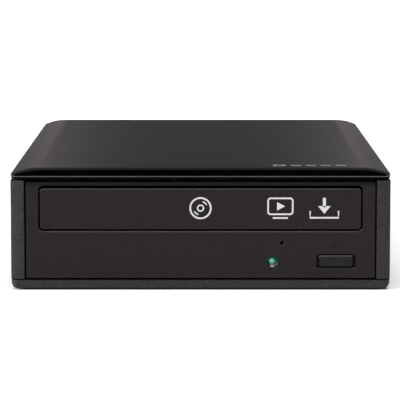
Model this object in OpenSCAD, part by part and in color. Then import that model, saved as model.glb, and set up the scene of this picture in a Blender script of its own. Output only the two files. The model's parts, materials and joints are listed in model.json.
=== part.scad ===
// External optical drive in a desktop housing.
// X runs to the right seen from the front, Y to the back, Z up.
// The origin is the middle of the footprint, on the surface that the feet stand on.

/* [Housing] */
// Overall width
body_w = 161; // [156:1:168]
// Overall depth, front to back
body_d = 229; // [226:1:240]
// Overall height, feet included
body_h = 52; // [51.5:0.5:54]
// Wall of the side panels
side_wall = 3; // [2.5:0.1:3.2]
// Height of the rubber feet below the base
foot_h = 0.5; // [0.5:0.1:1.2]
// Diameter of a rubber foot
foot_dia = 14; // [8:1:18]
// Level of the base's upper edge
base_top = 4.2; // [4.1:0.1:4.4]
// Thickness of the base's floor
base_floor = 2.2; // [1.8:0.1:2.4]
// Plan radius of the housing's corners
corner_r = 3; // [1.5:0.5:5]
// Radius along the base's lower edges at the sides
base_edge_r = 3.2; // [1:0.1:3.2]

/* [Lid] */
// Level of the lid's lower edge
lid_bottom = 48.1; // [48:0.1:48.5]
// Height that the lid's top loses towards each side
side_drop = 2.6; // [1:0.1:3]
// Radius of that fall
side_roll_r = 31; // [10:1:60]
// Radius along the lid's front edge, which rounds nearly its whole thickness
front_edge_r = 3.8; // [1:0.1:3.8]

/* [Front panel] */
// Width of the drive's front panel
bezel_w = 148; // [147:0.1:148.2]
// Width of the tray's door
door_w = 136; // [134:0.5:137]
// Lower edge of the door
door_low = 25.9; // [25.5:0.1:27]
// Upper edge of the door
door_high = 43.2; // [42.5:0.1:43.7]
// Gap below the door and at its ends
door_gap = 0.7; // [0.4:0.1:1]
// Wider gap above the door
door_top_gap = 1.2; // [0.7:0.1:1.4]
// Width of the eject button
button_w = 14.5; // [10:0.5:18]
// Height of the eject button
button_h = 4.8; // [3.5:0.1:6]
// Across position of the eject button
button_x = 57.45; // [55:0.05:59]
// Level of the eject button
button_z = 12.25; // [11.5:0.05:13]
// Across position of the status lamp
lamp_x = 30.4; // [26:0.1:40]
// Across position of the emergency eject hole
pinhole_x = 34.5; // [32:0.1:44]
// Level of the emergency eject hole
pinhole_z = 20; // [18.5:0.1:21.5]

/* [Disc tray] */
// How far the tray slides out
tray_travel = 136; // [130:1:138]
// Radius of the recess for a full-size disc
disc_r = 60.4; // [60.2:0.1:61]
// Radius of the recess for a small disc
small_disc_r = 40.4; // [40.2:0.1:41]
// Distance from the middle of the housing forward to the disc's centre
disc_forward = 46; // [44:0.5:47]
// Level of the tray's underside
tray_low = 31; // [30.9:0.1:31.1]
// Level of the tray's top
tray_high = 37; // [36.8:0.1:37.1]

/* [Gears] */
// Module of the rack and its pinion
rack_module = 1; // [1:1:1]
// Module of the reduction pair
pair_module = 0.8; // [0.8:0.1:0.8]
// Teeth on the pinion that drives the rack
pinion_teeth = 18; // [18:1:18]
// Teeth on the large reduction wheel
wheel_teeth = 30; // [30:1:30]
// Teeth on the pulley's pinion
pulley_teeth = 14; // [14:1:14]
// Play between meshing flanks
backlash = 0.22; // [0.15:0.01:0.3]

/* [Lift and pickup] */
// How far the deck tilts down about its rear pins, in degrees
deck_drop = 3.8; // [3:0.1:3.8]
// How far the cam slides to lower the deck
cam_travel = 20; // [18:1:20]
// How far the pickup travels along its rods
sled_travel = 36; // [30:1:36]

/* [Hidden] */

$fn = 64;
// Overlap that joins the solids of one piece
join = 0.2;
// How far a cutter reaches past the face that it opens
past = 1;
// Clearance between pieces that move past each other
clear = 0.3;
// Radial clearance of a shaft in its bore
running = 0.05;

half_w = body_w / 2;
half_d = body_d / 2;
front_y = -half_d;
rear_y = half_d;
wall_top = lid_bottom - 1.3;
wall_low = base_top + 0.4;
floor_top = foot_h + base_floor;
panel_in = half_w - side_wall;

drive_half = 73;
sheet = 0.8;
drive_low = 5;
drive_high = 46.2;
drive_front = front_y + 5.9;
drive_rear = 60;
cover_split = 26;
bezel_front = front_y + 0.4;
bezel_wall = 2.2;
bezel_low = 5;
bezel_high = 46.1;
bezel_back = drive_front - 0.3;

front_board_y = -105.5;

rail_in = 68.6;
rail_wall = 3;
chassis_front = -104;
chassis_rear = 58;
chassis_low = 9;
chassis_high = 41.9;
plate_low = 14;
plate_high = 16.5;
plate_rear = -77;

disc_y = -disc_forward;
tray_half = 65.5;
tray_front = front_y + 2.9;
tray_rear = 50;
window_half = 22;

gear_y = -90;
pinion_r = rack_module * pinion_teeth / 2;
wheel_r = pair_module * wheel_teeth / 2;
pulley_pinion_r = pair_module * pulley_teeth / 2;
drive_gear_x = -36;
pulley_gear_x = drive_gear_x + wheel_r + pulley_pinion_r;
motor_x = 20;
rack_line_x = drive_gear_x - pinion_r;
axle_r = 1.5;
pair_low = 22.1;
pair_high = 25.1;
pinion_low = 26.3;
pinion_high = 30.4;
belt_z = 20;
belt_big_r = 10;
belt_small_r = 3;
belt_thick = 1;

hinge_y = 44;
hinge_z = 18.25;
hinge_r = 2;
deck_half = 42;
deck_front = -72;
deck_rear = 50;
deck_low = 16;
deck_high = 20.5;
cam_back = deck_front - 2.6;
cam_thick = 2;
cam_pin_r = 1.5;
cam_pin_x = 14;
cam_fall = (hinge_y - (cam_back - cam_thick / 2)) * sin(deck_drop);
traverse_low = 21.2;
traverse_high = 22.4;
damper_spots = [for (x = [-38.5, 38.5], y = [-68, 46.5]) [x, y]];

rod_x = 26;
rod_z = 25;
rod_r = 1.5;
screw_x = 33;
screw_z = 26.8;
screw_r = 1.4;
sled_front = -30;
sled_back = 0;
rod_front = sled_front + 1;
rod_back = sled_back + sled_travel + 4;
lens_y = disc_y + 24;
lens_top = 34.6;

table_top = 36;
shaft_r = 1.5;

board_low = 7.4;
board_high = 9;
post_spots = [[-54, 70], [44, 70], [-54, 106], [44, 106]];
board_front = 62.5;
board_rear = 110.6;
usb_x = 22;
jack_x = -38;
jack_z = 15.2;
switch_x = -9;
switch_z = 11.8;
lock_x = 57;
lock_z = 14;

case_spots = [[-75.2, -104], [75.2, -104], [-72, 103], [72, 103]];
drive_spots = [for (x = [-60, 60], y = [-62, 40]) [x, y]];
leg_spots = [for (x = [-64, 64], y = [-98, 49]) [x, y]];
foot_spots = [for (x = [-62, 62], y = [-92, 92]) [x, y]];

// ---- Outlines -------------------------------------------------------------

function arc(cx, cy, r, from, to, steps = 8) =
    [for (i = [0:steps]) let (a = from + (to - from) * i / steps) [cx + r * cos(a), cy + r * sin(a)]];

function round_rect(w, d, r, steps = 8) = concat(
    arc(w / 2 - r, d / 2 - r, r, 0, 90, steps), arc(r - w / 2, d / 2 - r, r, 90, 180, steps),
    arc(r - w / 2, r - d / 2, r, 180, 270, steps), arc(w / 2 - r, r - d / 2, r, 270, 360, steps));

function slot_outline(from, to, r, steps = 8) =
    let (a = atan2(to[1] - from[1], to[0] - from[0]))
    concat(arc(to[0], to[1], r, a - 90, a + 90, steps), arc(from[0], from[1], r, a + 90, a + 270, steps));

// Extrudes an outline drawn in X and Z from the front level y0 back to y1
module along_y(y0, y1) translate([0, y1, 0]) rotate([90, 0, 0]) linear_extrude(y1 - y0) children();

// Extrudes an outline drawn in Y and Z from x0 to x1
module along_x(x0, x1)
    translate([x0, 0, 0]) rotate([90, 0, 90]) linear_extrude(x1 - x0) children();

// A box given by its lowest and highest corners
module block(low, high) translate(low) cube(high - low);

// The same piece on the left and on the right
module both_sides() {
    children();
    mirror([1, 0, 0]) children();
}

module upright(x, y, z0, z1, r) translate([x, y, z0]) cylinder(h = z1 - z0, r = r);

module lying_y(x, z, y0, y1, r) translate([x, y1, z]) rotate([90, 0, 0]) cylinder(h = y1 - y0, r = r);

module lying_x(y, z, x0, x1, r) translate([x0, y, z]) rotate([0, 90, 0]) cylinder(h = x1 - x0, r = r);

module at_each(spots) for (s = spots) translate([s[0], s[1], 0]) children();

// ---- Screws ---------------------------------------------------------------

// A screw with its head's underside at the origin and its shank upwards
module screw_up(shank_r, shank_l, head_r, head_h) difference() {
    union() {
        translate([0, 0, -head_h]) cylinder(h = head_h, r = head_r);
        translate([0, 0, -head_h / 2]) cylinder(h = shank_l + head_h / 2, r = shank_r);
    }
    for (a = [0, 90]) rotate(a) translate([-head_r * 0.6, -0.25, -head_h - past])
        cube([head_r * 1.2, 0.5, past + head_h * 0.55]);
}

// ---- Gears ----------------------------------------------------------------

pressure = 20;
addendum = 0.8;
dedendum = 1.1;

function involute(a) = tan(a) * 180 / PI - a;

function gear_outline(m, teeth, steps = 4) =
    let (
        r = m * teeth / 2, base = r * cos(pressure), tip = r + addendum * m, root = r - dedendum * m,
        foot = max(base, root), half = 90 / teeth - backlash / 4 / r * 180 / PI + involute(pressure),
        up = [for (i = [0:steps]) let (q = foot + (tip - foot) * i / steps)
            [q, half - involute(acos(min(1, base / q)))]]
    )
    [for (t = [0:teeth - 1]) let (c = t * 360 / teeth) each concat(
        [[root * cos(c - up[0][1]), root * sin(c - up[0][1])]],
        [for (p = up) [p[0] * cos(c - p[1]), p[0] * sin(c - p[1])]],
        [for (i = [steps:-1:0]) let (p = up[i]) [p[0] * cos(c + p[1]), p[0] * sin(c + p[1])]],
        [[root * cos(c + up[0][1]), root * sin(c + up[0][1])]])];

module toothed_wheel(m, teeth, z0, z1, turn)
    translate([0, 0, z0]) rotate(turn) linear_extrude(z1 - z0) polygon(gear_outline(m, teeth));

// Rack teeth that point along +X from the line x = 0, one of them centred on y = 0
function rack_outline(m, before, after, back) =
    let (pitch = PI * m, half = pitch / 4 - backlash / 4, t = tan(pressure))
    concat([[-back, (after + 0.5) * pitch], [-back, (-before - 0.5) * pitch],
            [-dedendum * m, (-before - 0.5) * pitch]],
        [for (i = [-before:after]) let (y = i * pitch) each [
            [-dedendum * m, y - half - dedendum * m * t], [addendum * m, y - half + addendum * m * t],
            [addendum * m, y + half - addendum * m * t], [-dedendum * m, y + half + dedendum * m * t]]],
        [[-dedendum * m, (after + 0.5) * pitch]]);

// ---- Housing --------------------------------------------------------------

// Lid section across X and Z, sunk by inset on the top and sides
module lid_section(inset) {
    flat = half_w - inset - sqrt(side_roll_r * side_roll_r - pow(side_roll_r - side_drop, 2));
    roll = acos((side_roll_r - side_drop) / side_roll_r);
    top = body_h - inset;
    right = arc(flat, top - side_roll_r, side_roll_r, 90 - roll, 90, 10);
    polygon(concat([[-half_w + inset, lid_bottom - past], [half_w - inset, lid_bottom - past]],
        right, [for (i = [10:-1:0]) [-right[i][0], right[i][1]]]));
}

// Lid section along Y and Z: a full round in front and a longer, shallower fall at the back
module lid_profile(inset) {
    edge_r = max(front_edge_r - inset, 0.5);
    fall_run = 11;
    fall = 1.8;
    fall_r = (fall_run * fall_run + fall * fall) / (2 * fall);
    fall_turn = asin(fall_run / fall_r);
    top = body_h - inset;
    y0 = front_y + inset;
    y1 = rear_y - inset;
    polygon(concat([[y0, lid_bottom - past], [y1, lid_bottom - past]],
        arc(y1 - fall_run, top - fall_r, fall_r, 90 - fall_turn, 90, 8),
        arc(y0 + edge_r, top - edge_r, edge_r, 90, 180, 8)));
}

module lid_solid(inset, low) intersection() {
    along_y(front_y - past, rear_y + past) lid_section(inset);
    along_x(-half_w - past, half_w + past) lid_profile(inset);
    translate([0, 0, low]) linear_extrude(body_h)
        polygon(round_rect(body_w - 2 * inset, body_d - 2 * inset, corner_r - min(inset, 1)));
}

module top_cover() color([0.05, 0.045, 0.05]) {
    lid_wall = 2.4;
    difference() {
        lid_solid(0, lid_bottom);
        lid_solid(lid_wall, lid_bottom - past);
    }
}

module lid_carrier() color([0.12, 0.11, 0.11]) {
    inset = 2.2;
    rib = 1.2;
    hook_low = 38;
    translate([0, 0, wall_top + 0.2])
        linear_extrude(lid_bottom - 0.1 - wall_top - 0.2)
            polygon(round_rect(body_w - 2 * inset, body_d - 2 * inset, max(corner_r - inset, 0.5)));
    both_sides() for (y = [-70, 0, 85])
        block([panel_in - clear - rib, y, hook_low], [panel_in - clear, y + 14, lid_bottom - 0.3]);
}

// Plan outline of the left or right wall, drawn for the right side.
// The column's front face is a slow curve that falls back towards the outer corner.
module side_plan() {
    column = bezel_w / 2 + 0.6;
    column_d = 7;
    front_r = 0.8;
    face_r = 16;
    turn = asin((half_w - column - front_r) / (face_r - front_r));
    corner_y = front_y + face_r - (face_r - front_r) * cos(turn);
    polygon(concat(
        [[column, front_y + 0.3]],
        arc(column, front_y + face_r, face_r, -89, turn - 90, 6),
        arc(half_w - front_r, corner_y, front_r, turn - 90, 0, 5),
        arc(half_w - corner_r, rear_y - corner_r, corner_r, 0, 90),
        [[panel_in, rear_y], [panel_in, front_y + column_d], [column, front_y + column_d]]));
}

module side_panel() difference() {
    union() {
        translate([0, 0, wall_low]) linear_extrude(wall_top - wall_low) side_plan();
        block([drive_half + clear, -107.3, wall_low], [panel_in + join, -100.7, 22]);
        block([68, 99, wall_low], [panel_in + join, 107, 22]);
        block([panel_in - 1.5, 64, 24], [panel_in + join, 66, wall_top - 2]);
    }
    for (s = [case_spots[1], case_spots[3]]) upright(s[0], s[1], wall_low - past, 14, 0.9);
}

module right_side_panel() color([0.21, 0.2, 0.2]) side_panel();
module left_side_panel() color([0.21, 0.2, 0.2]) mirror([1, 0, 0]) side_panel();

module rear_panel() color([0.18, 0.17, 0.17]) {
    y0 = rear_y - 2.6;
    y1 = rear_y - 0.1;
    edge = panel_in - 0.2;
    vent_low = 27;
    vent_high = 41;
    vent_half = 1.2;
    difference() {
        union() {
            block([-edge, y0, wall_low], [edge, y1, wall_top]);
            both_sides() block([edge - 14, y0 - 3, 25], [edge - 12.5, y0 + join, wall_top - 1]);
        }
        for (x = [-57:6:57])
            along_y(y0 - past, y1 + past) polygon(slot_outline([x, vent_low], [x, vent_high], vent_half));
        lying_y(jack_x, jack_z, y0 - past, y1 + past, 4.2);
        // Windows for the data socket and the switch, then the security slot
        for (w = [[usb_x, board_high + 5.3, 12.8, 11.4], [switch_x, switch_z, 9.4, 4],
                [lock_x, lock_z, 7.2, 3.2]])
            along_y(y0 - past, y1 + past) translate([w[0], w[1]]) polygon(round_rect(w[2], w[3], 0.6, 4));
    }
}

module base_section(half_span, edge_r) {
    polygon(concat(arc(edge_r - half_span, foot_h + edge_r, edge_r, 180, 270),
        arc(half_span - edge_r, foot_h + edge_r, edge_r, 270, 360),
        [[half_span, base_top], [-half_span, base_top]]));
}

module bottom_cover() color([0.2, 0.18, 0.18]) {
    rim = 2.4;
    side_edge = min(base_edge_r, base_top - foot_h - 0.3);
    front_edge = 0.8;
    difference() {
        union() {
            difference() {
                intersection() {
                    along_y(front_y - past, rear_y + past) base_section(half_w, side_edge);
                    along_x(-half_w - past, half_w + past) base_section(half_d, front_edge);
                    linear_extrude(base_top + past) polygon(round_rect(body_w, body_d, corner_r));
                }
                translate([0, 0, floor_top]) linear_extrude(base_top)
                    polygon(round_rect(body_w - 2 * rim, body_d - 2 * rim, 1.5, 4));
            }
            at_each(drive_spots) upright(0, 0, floor_top - join, drive_low - 0.1, 4.5);
            at_each(post_spots) upright(0, 0, floor_top - join, board_low - 0.05, 3);
            at_each(case_spots) upright(0, 0, floor_top - join, base_top, 1.7);
            for (y = [-20:20:20]) block([-45, y, floor_top - join], [45, y + 1.5, base_top]);
            block([panel_in - 2, -60, floor_top - join], [panel_in - 0.8, 60, base_top + 3]);
            block([0.8 - panel_in, -60, floor_top - join], [2 - panel_in, 60, base_top + 3]);
        }
        at_each(foot_spots) upright(0, 0, -past, foot_h + 0.8, foot_dia / 2 + 0.2);
        at_each(drive_spots) {
            upright(0, 0, -past, drive_low + past, 1.7);
            upright(0, 0, -past, foot_h + 1.6, 3.4);
        }
        at_each(case_spots) {
            upright(0, 0, -past, base_top + past, 1.1);
            upright(0, 0, -past, foot_h + 1.2, 2.1);
        }
        at_each(post_spots) upright(0, 0, floor_top - 0.5, board_low + past, 1.1);
        translate([0, -10, -past]) linear_extrude(past + foot_h + 0.3)
            polygon(round_rect(62.6, 42.6, 1.3, 4));
    }
}

module rubber_feet() color([0.07, 0.07, 0.07]) at_each(foot_spots) {
    face_r = foot_dia / 2 - 0.5;
    rotate_extrude() polygon([[0, 0], [face_r, 0], [foot_dia / 2, 0.5], [foot_dia / 2, foot_h + 0.75],
        [0, foot_h + 0.75]]);
}

module case_screws() color([0.5, 0.5, 0.52]) at_each(case_spots)
    translate([0, 0, foot_h + 1.2]) screw_up(0.85, 9, 1.8, 1);

module drive_screws() color([0.5, 0.5, 0.52]) at_each(drive_spots)
    translate([0, 0, foot_h + 1.6]) screw_up(1.5, 4.6, 2.9, 1.4);

module rating_label() color([0.85, 0.85, 0.83])
    translate([0, -10, foot_h + 0.1]) linear_extrude(0.18) polygon(round_rect(62, 42, 1, 4));

// ---- Rear electronics -----------------------------------------------------

module bridge_board() color([0.05, 0.25, 0.12]) difference() {
    block([-60, board_front, board_low], [50, board_rear, board_high]);
    at_each(post_spots) upright(0, 0, board_low - past, board_high + past, 1.6);
}

module board_chips() color([0.08, 0.08, 0.09]) {
    block([-14, 80, board_high + 0.02], [-1, 93, board_high + 1.4]);
    block([8, 84, board_high + 0.02], [14, 89, board_high + 1.8]);
    block([-40, 76, board_high + 0.02], [-34, 82, board_high + 2.8]);
    block([30, 76, board_high + 0.02], [36, 80, board_high + 1.6]);
}

module board_capacitors() color([0.15, 0.16, 0.3])
    at_each([[-48, 92], [-40, 90], [-24, 76], [26, 90]])
        upright(0, 0, board_high + 0.02, board_high + 7.5, 3.15);

module board_screws() color([0.6, 0.6, 0.62]) at_each(post_spots)
    translate([0, 0, board_high]) mirror([0, 0, 1]) screw_up(1.05, 5, 2.7, 1.7);

module usb_port() color([0.7, 0.72, 0.74]) {
    z0 = board_high + 0.02;
    shell = 0.4;
    mouth = rear_y - 0.6;
    back = mouth - 16;
    outer = [[-6, 0], [6, 0], [6, 6.4], [4.6, 7.6], [4.6, 10.6], [-4.6, 10.6], [-4.6, 7.6], [-6, 6.4]];
    inner = [[-5.5, 0.5], [5.5, 0.5], [5.5, 6.2], [4.1, 7.4], [4.1, 10.1], [-4.1, 10.1], [-4.1, 7.4],
        [-5.5, 6.2]];
    translate([usb_x, 0, z0]) {
        difference() {
            along_y(back, mouth) polygon(outer);
            along_y(back + 4, mouth + past) polygon(inner);
        }
        block([-2.8, back + 4 - join, 2.3], [2.8, mouth - 2 * shell, 5]);
        block([-2.6, back + 4 - join, 8.3], [2.6, mouth - 2 * shell, 9.3]);
    }
}

module dc_jack() color([0.06, 0.06, 0.06]) {
    z0 = board_high + 0.02;
    mouth = rear_y - 0.6;
    back = mouth - 14;
    difference() {
        union() {
            block([jack_x - 4.5, back, z0], [jack_x + 4.5, rear_y - 3, z0 + 10.8]);
            lying_y(jack_x, jack_z, back + 2, mouth, 4);
        }
        lying_y(jack_x, jack_z, back + 4, mouth + past, 3.1);
    }
    lying_y(jack_x, jack_z, back + 4 - join, mouth - 1, 1.05);
}

module power_switch() color([0.1, 0.1, 0.1]) {
    back = rear_y - 9;
    face = rear_y - 3;
    difference() {
        block([switch_x - 6, back, board_high + 0.02], [switch_x + 6, face, board_high + 5.6]);
        block([switch_x - 3.8, back + 3, 10.4], [switch_x + 3.8, face + past, 13.2]);
    }
}

module power_switch_knob() color([0.16, 0.16, 0.16]) {
    block([switch_x - 3.6, rear_y - 5.6, 10.6], [switch_x - 0.2, rear_y - 3.3, 13]);
    block([switch_x - 3.2, rear_y - 3.3 - join, 10.9], [switch_x - 0.6, rear_y - 0.2, 12.7]);
}

module sata_connector() color([0.08, 0.08, 0.08]) difference() {
    block([-19, drive_rear + 0.7, board_high + 0.02], [19, drive_rear + 9, board_high + 6]);
    for (span = [[-16.4, -5.6], [-3.6, 16.6]])
        block([span[0], drive_rear, board_high + 2.2], [span[1], drive_rear + 6, board_high + 4.6]);
}

// ---- Drive: covers and front ----------------------------------------------

module drive_bottom_cover() color([0.7, 0.71, 0.73]) difference() {
    union() {
        block([-drive_half, drive_front, drive_low], [drive_half, drive_rear, drive_low + sheet]);
        both_sides() block([drive_half - sheet, drive_front, drive_low + join],
            [drive_half, drive_rear, cover_split - clear]);
        block([-drive_half, drive_rear - sheet, drive_low + join],
            [drive_half, drive_rear, 20]);
        for (x = [-42, 42], y = [-42, 46]) upright(x, y, drive_low + join, 7.15, 2.5);
    }
    block([-18.5, drive_rear - 2, 7.4], [18.5, drive_rear + past, 15.4]);
    at_each(drive_spots) upright(0, 0, drive_low - past, drive_low + sheet + past, 1.6);
    at_each(leg_spots) upright(0, 0, drive_low - past, drive_low + sheet + past, 1.4);
}

module drive_top_cover() color([0.72, 0.73, 0.75]) difference() {
    union() {
        block([-drive_half, drive_front, drive_high - sheet], [drive_half, drive_rear, drive_high]);
        both_sides() block([drive_half - sheet, drive_front, cover_split],
            [drive_half, drive_rear, drive_high - join]);
        block([sheet + 0.1 - drive_half, drive_rear - sheet, 20.3],
            [drive_half - sheet - 0.1, drive_rear, drive_high - join]);
    }
    upright(0, disc_y, drive_high - 0.3, drive_high + past, 24);
}

module front_bezel() color([0.19, 0.175, 0.175]) {
    slot_half = door_w / 2 + door_gap;
    slot_low = door_low - door_gap;
    slot_high = door_high + door_top_gap;
    slot_mid = (slot_low + slot_high) / 2;
    slot_tall = slot_high - slot_low;
    mid_z = (bezel_low + bezel_high) / 2;
    tall = bezel_high - bezel_low;
    back = bezel_front + bezel_wall;
    bevel = 0.5;
    mark_z = 18.8;
    pinhole_r = 0.8;
    difference() {
        along_y(bezel_front, bezel_back) translate([0, mid_z]) polygon(round_rect(bezel_w, tall, 0.5, 3));
        along_y(back, bezel_back + past)
            translate([0, mid_z]) polygon(round_rect(bezel_w - 2.6, tall - 2.6, 0.4, 3));
        along_y(bezel_front - past, back + past)
            translate([0, slot_mid]) polygon(round_rect(2 * slot_half, slot_tall, 1.9));
        // Bevels along the slot's lower and upper edges, then its ends
        along_x(-slot_half + 2, slot_half - 2) polygon([[bezel_front - past, slot_low - bevel],
            [bezel_front, slot_low - bevel], [bezel_front + bevel, slot_low + 0.01],
            [bezel_front + bevel, slot_low + past], [bezel_front - past, slot_low + past]]);
        along_x(-slot_half + 2, slot_half - 2) polygon([[bezel_front - past, slot_high + bevel],
            [bezel_front, slot_high + bevel], [bezel_front + bevel, slot_high - 0.01],
            [bezel_front + bevel, slot_high - past], [bezel_front - past, slot_high - past]]);
        along_y(bezel_front - past, back + past)
            translate([button_x, button_z]) polygon(round_rect(button_w + 2.1, button_h + 1.3, 1));
        // Countersunk window for the lamp
        translate([lamp_x, bezel_front + bezel_wall + past, button_z]) rotate([90, 0, 0])
            rotate_extrude() polygon([[0, 0], [1.7, 0], [1.7, past + bezel_wall - 0.9],
                [2.65, past + bezel_wall + 0.05], [2.65, 2 * past + bezel_wall],
                [0, 2 * past + bezel_wall]]);
        // Emergency eject hole
        lying_y(pinhole_x, pinhole_z, bezel_front - past, back + past, pinhole_r);
        // Sunk eject mark: a triangle over a bar
        along_y(bezel_front - past, bezel_front + 0.15) translate([button_x - 0.8, mark_z]) {
            polygon([[-1.2, -0.3], [1.2, -0.3], [0, 1.2]]);
            polygon([[-1.2, -1.1], [1.2, -1.1], [1.2, -0.7], [-1.2, -0.7]]);
        }
    }
}

module tray_door() color([0.185, 0.17, 0.17]) {
    mid_z = (door_low + door_high) / 2;
    face = bezel_front + 0.05;
    back = tray_front - 0.15;
    difference() {
        along_y(face, back)
            translate([0, mid_z]) polygon(round_rect(door_w, door_high - door_low, 1.3));
        along_y(back - 1, back + past)
            translate([0, mid_z]) polygon(round_rect(door_w - 8, door_high - door_low - 5, 1, 4));
    }
}

module eject_button() color([0.2, 0.185, 0.185]) {
    guard = bezel_front + bezel_wall + clear;
    along_y(front_y + 0.3, guard + join)
        translate([button_x, button_z]) polygon(round_rect(button_w, button_h, 0.8));
    along_y(front_y, front_y + 0.3 + 0.01)
        translate([button_x, button_z]) polygon(round_rect(button_w - 0.6, button_h - 0.6, 0.7));
    block([button_x - 8.6, guard, button_z - 3.4], [button_x + 8.6, guard + 1, button_z + 3.4]);
    lying_y(button_x, button_z, guard + 1 - join, guard + 2.2, 1.5);
}

module front_board() color([0.06, 0.22, 0.1])
    block([22, front_board_y, 7.2], [67.5, front_board_y + 1.2, 18]);

module eject_switch() color([0.12, 0.12, 0.13])
    block([button_x - 3, front_board_y - 2.2, button_z - 3],
        [button_x + 3, front_board_y - 0.02, button_z + 3]);

module status_led() color([0.3, 0.8, 0.6]) {
    lying_y(lamp_x, button_z, front_board_y - 2.1, front_board_y - 0.02, 1.5);
    lying_y(lamp_x, button_z, front_board_y - 0.8, front_board_y - 0.02, 1.9);
}

module led_lens() color([0.35, 0.75, 0.6]) {
    back = front_board_y - 2.3;
    long = back - bezel_front - 0.5;
    translate([lamp_x, back, button_z]) rotate([90, 0, 0])
        rotate_extrude() polygon([[0, 0], [2.3, 0], [2.3, 2.2], [1.55, 2.2], [1.55, long - 0.7],
            [1.35, long - 0.3], [0.8, long - 0.05], [0, long]]);
}

// ---- Drive: chassis and boards --------------------------------------------

module loader_chassis() color([0.16, 0.16, 0.17]) difference() {
    union() {
        both_sides() {
            block([rail_in, chassis_front, chassis_low], [rail_in + rail_wall, chassis_rear, chassis_high]);
            block([62.5, chassis_front, 28], [rail_in + join, 54, tray_low - clear]);
            for (y = [-97, -14, 34])
                block([63.5, y, tray_high + clear], [rail_in + join, y + 8, tray_high + 2.2]);
            block([48, plate_rear - join, chassis_low], [rail_in + join, 52 + join, 11.2]);
            difference() {
                block([deck_half + 2, hinge_y - 6.5, chassis_low], [50, hinge_y + 6.5, 22.6]);
                lying_x(hinge_y, hinge_z, deck_half + 1, 51, hinge_r + running);
            }
        }
        block([-rail_in - join, chassis_front, plate_low], [rail_in + join, plate_rear, plate_high]);
        block([-rail_in - join, 52, chassis_low], [rail_in + join, chassis_rear, 24]);
        at_each(leg_spots) upright(0, 0, drive_low + sheet + 0.1, plate_low + join, 4);
        upright(drive_gear_x, gear_y, plate_high - join, pinion_high - 0.4, axle_r);
        upright(pulley_gear_x, gear_y, plate_high - join, pair_high + 0.6, axle_r);
    }
    block([-20, 51, chassis_low - past], [20, chassis_rear + past, 15.4]);
    upright(motor_x, gear_y, plate_low - past, plate_high + past, 3.4);
    at_each(leg_spots) upright(0, 0, drive_low, 12.5, 1.2);
    block([-30, -100, plate_low - past], [-6, -98, plate_high + past]);
}

module chassis_screws() color([0.6, 0.6, 0.62]) at_each(leg_spots)
    translate([0, 0, drive_low]) screw_up(1.15, 6, 2.4, 1.2);

module drive_main_board() color([0.05, 0.24, 0.12]) block([-46, -46, 7.2], [46, 50.6, 8.4]);

module drive_board_chips() color([0.08, 0.08, 0.09]) {
    block([-10, 0, 8.42], [10, 20, 9.8]);
    block([-28, -26, 8.42], [-16, -16, 9.8]);
    block([14, -24, 8.42], [24, -16, 9.6]);
    block([18, 26, 8.42], [26, 30, 9.6]);
}

module drive_sata_connector() color([0.08, 0.08, 0.08]) {
    difference() {
        block([-17.5, 50.8, 8.42], [17.5, drive_rear + 0.3, 14.6]);
        block([-16.6, 56, 9.4], [16.6, drive_rear + past, 14]);
    }
    for (span = [[-15, -6.6], [-2.6, 15]])
        block([span[0], 56 - join, 11.7], [span[1], drive_rear + 0.2, 12.9]);
}

module clamp_bridge() color([0.68, 0.69, 0.7]) {
    low = chassis_high + 0.05;
    difference() {
        block([-rail_in - rail_wall, disc_y - 20, low], [rail_in + rail_wall, disc_y + 20, low + 1]);
        upright(0, disc_y, low - past, low + 2, 12.5);
        both_sides() upright(rail_in + 1.5, disc_y, low - past, low + 2, 1.1);
    }
}

module bridge_screws() color([0.6, 0.6, 0.62]) both_sides()
    translate([rail_in + 1.5, disc_y, chassis_high + 1.05]) mirror([0, 0, 1]) screw_up(1, 0.9, 1.9, 1.2);

// ---- Drive: loading gear --------------------------------------------------

module loading_motor() color([0.66, 0.67, 0.69]) translate([motor_x, gear_y, 0]) {
    upright(0, 0, drive_low + sheet + 0.4, plate_low - 0.1, 12);
    upright(0, 0, plate_low - 0.1 - join, plate_high + 0.5, 3);
    upright(0, 0, plate_high + 0.5 - join, 22.6, 0.95);
}

// A belt wheel with a groove, its middle level at z = 0
module belt_wheel(r, bore) rotate_extrude() polygon([[bore, -1.4], [r + 0.7, -1.4],
    [r + 0.7, -1], [r - 0.6, -0.75], [r - 0.6, 0.75], [r + 0.7, 1], [r + 0.7, 1.4], [bore, 1.4]]);

module motor_pulley() color([0.8, 0.65, 0.3])
    translate([motor_x, gear_y, belt_z]) belt_wheel(belt_small_r, 0.95 + running);

module loading_belt() color([0.05, 0.05, 0.05]) {
    gap = pulley_gear_x - motor_x;
    lean = acos((belt_small_r - belt_big_r) / -gap);
    translate([0, gear_y, belt_z - 0.6]) linear_extrude(1.2) difference() {
        polygon(concat(arc(motor_x, 0, belt_small_r + belt_thick / 2, lean - 180, 180 - lean, 12),
            arc(pulley_gear_x, 0, belt_big_r + belt_thick / 2, 180 - lean, 180 + lean, 24)));
        polygon(concat(arc(motor_x, 0, belt_small_r - belt_thick / 2, lean - 180, 180 - lean, 12),
            arc(pulley_gear_x, 0, belt_big_r - belt_thick / 2, 180 - lean, 180 + lean, 24)));
    }
}

module pulley_gear() color([0.85, 0.85, 0.82]) translate([pulley_gear_x, gear_y, 0]) difference() {
    union() {
        translate([0, 0, belt_z]) belt_wheel(belt_big_r, axle_r + running);
        toothed_wheel(pair_module, pulley_teeth, pair_low, pair_high, 180 / pulley_teeth);
        upright(0, 0, plate_high + clear, pair_low + join, 3);
    }
    upright(0, 0, plate_high, pair_high + past, axle_r + running);
}

module drive_gear() color([0.88, 0.88, 0.86]) translate([drive_gear_x, gear_y, 0]) difference() {
    union() {
        toothed_wheel(pair_module, wheel_teeth, pair_low, pair_high, 0);
        toothed_wheel(rack_module, pinion_teeth, pinion_low, pinion_high, 180 / pinion_teeth);
        upright(0, 0, plate_high + clear, pinion_low + join, 4);
    }
    upright(0, 0, plate_high, pinion_high + past, axle_r + running);
}

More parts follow.
